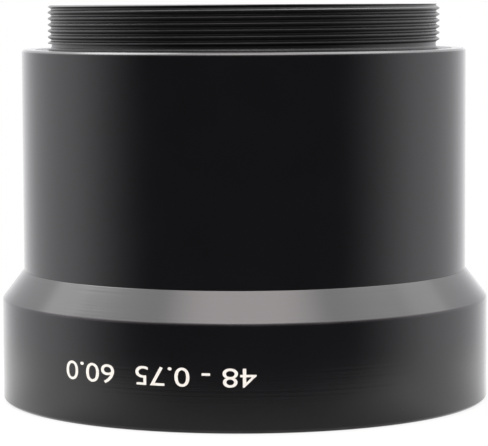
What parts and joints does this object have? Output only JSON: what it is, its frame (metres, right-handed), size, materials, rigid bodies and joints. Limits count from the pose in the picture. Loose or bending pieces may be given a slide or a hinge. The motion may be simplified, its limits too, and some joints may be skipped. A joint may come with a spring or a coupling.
{
  "type": "lens adapter tube",
  "caption": "Hollow turned tube that joins 58 mm filters and conversion lenses to a camera, with a male thread on its neck, a chamfered shoulder and a flared, female-threaded front ring.",
  "frame": {"origin": "middle of the front rim, in the plane that the tube stands on", "axes": "+Z along the tube's axis, from the filter end up to the camera end; +X towards a spanner slot"},
  "size_m": [0.06, 0.06, 0.0484],
  "materials": {
    "black_anodised": "turned, satin black anodised",
    "matt_black_anodised": "turned, matt black anodised",
    "pin_steel": "ground dowel pin"
  },
  "bodies": {
    "front_ring": {"front_ring": "black_anodised", "front_locating_pin_1": "pin_steel", "front_locating_pin_2": "pin_steel"},
    "front_lock_ring": {"front_lock_ring": "matt_black_anodised"},
    "main_tube": {"main_tube": "black_anodised", "rear_locating_pin_1": "pin_steel", "rear_locating_pin_2": "pin_steel"},
    "rear_lock_ring": {"rear_lock_ring": "matt_black_anodised"},
    "mount_ring": {"mount_ring": "black_anodised"}
  },
  "joints": [
    {"name": "front_lock_turn", "type": "hinge", "parent": "front_ring", "child": "front_lock_ring", "pos_m": [0, 0, 0.0082], "axis": [0, 0, -1], "range_deg": [0, 990]},
    {"name": "tube_lift", "type": "slide", "parent": "front_ring", "child": "main_tube", "axis": [0, 0, 1], "range_m": [0, 0.00206]},
    {"name": "rear_lock_turn", "type": "hinge", "parent": "main_tube", "child": "rear_lock_ring", "pos_m": [0, 0, 0.0386], "axis": [0, 0, -1], "range_deg": [0, 990]},
    {"name": "mount_lift", "type": "slide", "parent": "main_tube", "child": "mount_ring", "axis": [0, 0, 1], "range_m": [0, 0.00206]}
  ],
  "couplings": [
    {"joint": "front_lock_turn", "follows": "tube_lift", "rad_per_m": 8377.6},
    {"joint": "rear_lock_turn", "follows": "mount_lift", "rad_per_m": 8377.6}
  ]
}
